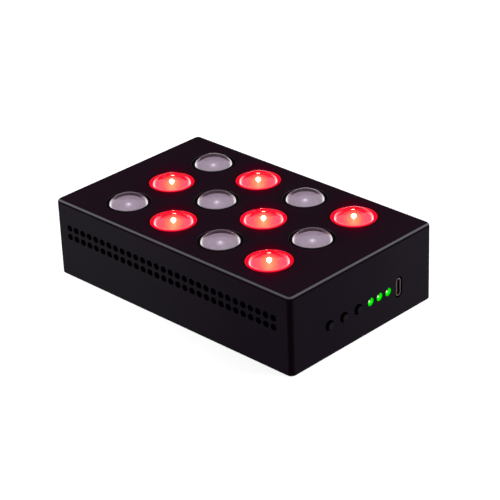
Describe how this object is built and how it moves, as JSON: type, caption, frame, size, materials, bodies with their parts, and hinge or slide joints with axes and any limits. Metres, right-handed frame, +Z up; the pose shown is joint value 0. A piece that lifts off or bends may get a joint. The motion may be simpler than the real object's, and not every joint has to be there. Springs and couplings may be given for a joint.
{
  "type": "red light therapy device",
  "caption": "Portable light therapy panel: a coated box with domed red and infrared lenses in its top, side vents, push buttons, status lights and a charging port.",
  "frame": {"origin": "middle of the case's underside, on the surface that it lies on", "axes": "+X along the case to the end with the buttons, status lights and charging port; +Y across the case to the side nearer the port; +Z up out of the windows, the way the lenses face"},
  "size_m": [0.1502, 0.0936, 0.0425],
  "materials": {
    "coated_case": "satin black powder coat",
    "black_plastic": "fine matt moulded",
    "clear_lens": "polished clear dome over a pale emitter",
    "red_lens": "polished clear dome, lit red from below",
    "green_light": "clear rod lit green",
    "black_anodised": "extruded, black anodised",
    "black_board": "black solder resist",
    "green_board": "green solder resist",
    "dark_steel": "black oxide",
    "port_steel": "drawn, nickel plated",
    "cell_wrap": "shrunk plastic sleeve",
    "lead_rubber": "soft insulation",
    "emitter": "phosphor coloured resin dome"
  },
  "bodies": {
    "case": {"housing": "coated_case", "bottom_cover": "coated_case", "cover_screw_1": "dark_steel", "cover_screw_2": "dark_steel", "cover_screw_3": "dark_steel", "cover_screw_4": "dark_steel", "red_lens_1": "red_lens", "red_lens_2": "red_lens", "red_lens_3": "red_lens", "red_lens_4": "red_lens", "red_lens_5": "red_lens", "red_lens_6": "red_lens", "infrared_lens_1": "clear_lens", "infrared_lens_2": "clear_lens", "infrared_lens_3": "clear_lens", "infrared_lens_4": "clear_lens", "infrared_lens_5": "clear_lens", "infrared_lens_6": "clear_lens", "red_led_1": "emitter", "red_led_2": "emitter", "red_led_3": "emitter", "red_led_4": "emitter", "red_led_5": "emitter", "red_led_6": "emitter", "infrared_led_1": "emitter", "infrared_led_2": "emitter", "infrared_led_3": "emitter", "infrared_led_4": "emitter", "infrared_led_5": "emitter", "infrared_led_6": "emitter", "lens_holder": "black_plastic", "led_board": "black_board", "heat_sink": "black_anodised", "sink_screw_1": "dark_steel", "sink_screw_2": "dark_steel", "sink_screw_3": "dark_steel", "sink_screw_4": "dark_steel", "fan_frame": "black_plastic", "fan_screw_1": "dark_steel", "fan_screw_2": "dark_steel", "battery_tray": "black_plastic", "battery_cell_1": "cell_wrap", "battery_cell_2": "cell_wrap", "battery_cell_3": "cell_wrap", "control_board": "green_board", "board_link": "black_plastic", "switch_1": "black_plastic", "switch_2": "black_plastic", "switch_3": "black_plastic", "status_light_1": "green_light", "status_light_2": "green_light", "status_light_3": "green_light", "port_sleeve": "port_steel", "port_tongue": "black_plastic", "battery_lead": "lead_rubber", "fan_lead": "lead_rubber"},
    "fan": {"fan_rotor": "black_plastic"},
    "power_key": {"power_button": "black_plastic"},
    "red_key": {"red_button": "black_plastic"},
    "infrared_key": {"infrared_button": "black_plastic"}
  },
  "joints": [
    {"name": "fan_spin", "type": "hinge", "parent": "case", "child": "fan", "pos_m": [-0.03585, 0, 0.017], "axis": [0, 0, 1], "continuous": true},
    {"name": "power_press", "type": "slide", "parent": "case", "child": "power_key", "axis": [-1, 0, 0], "range_m": [0, 0.0005], "stiffness_N_per_m": 500},
    {"name": "red_press", "type": "slide", "parent": "case", "child": "red_key", "axis": [-1, 0, 0], "range_m": [0, 0.0005], "stiffness_N_per_m": 500},
    {"name": "infrared_press", "type": "slide", "parent": "case", "child": "infrared_key", "axis": [-1, 0, 0], "range_m": [0, 0.0005], "stiffness_N_per_m": 500}
  ]
}
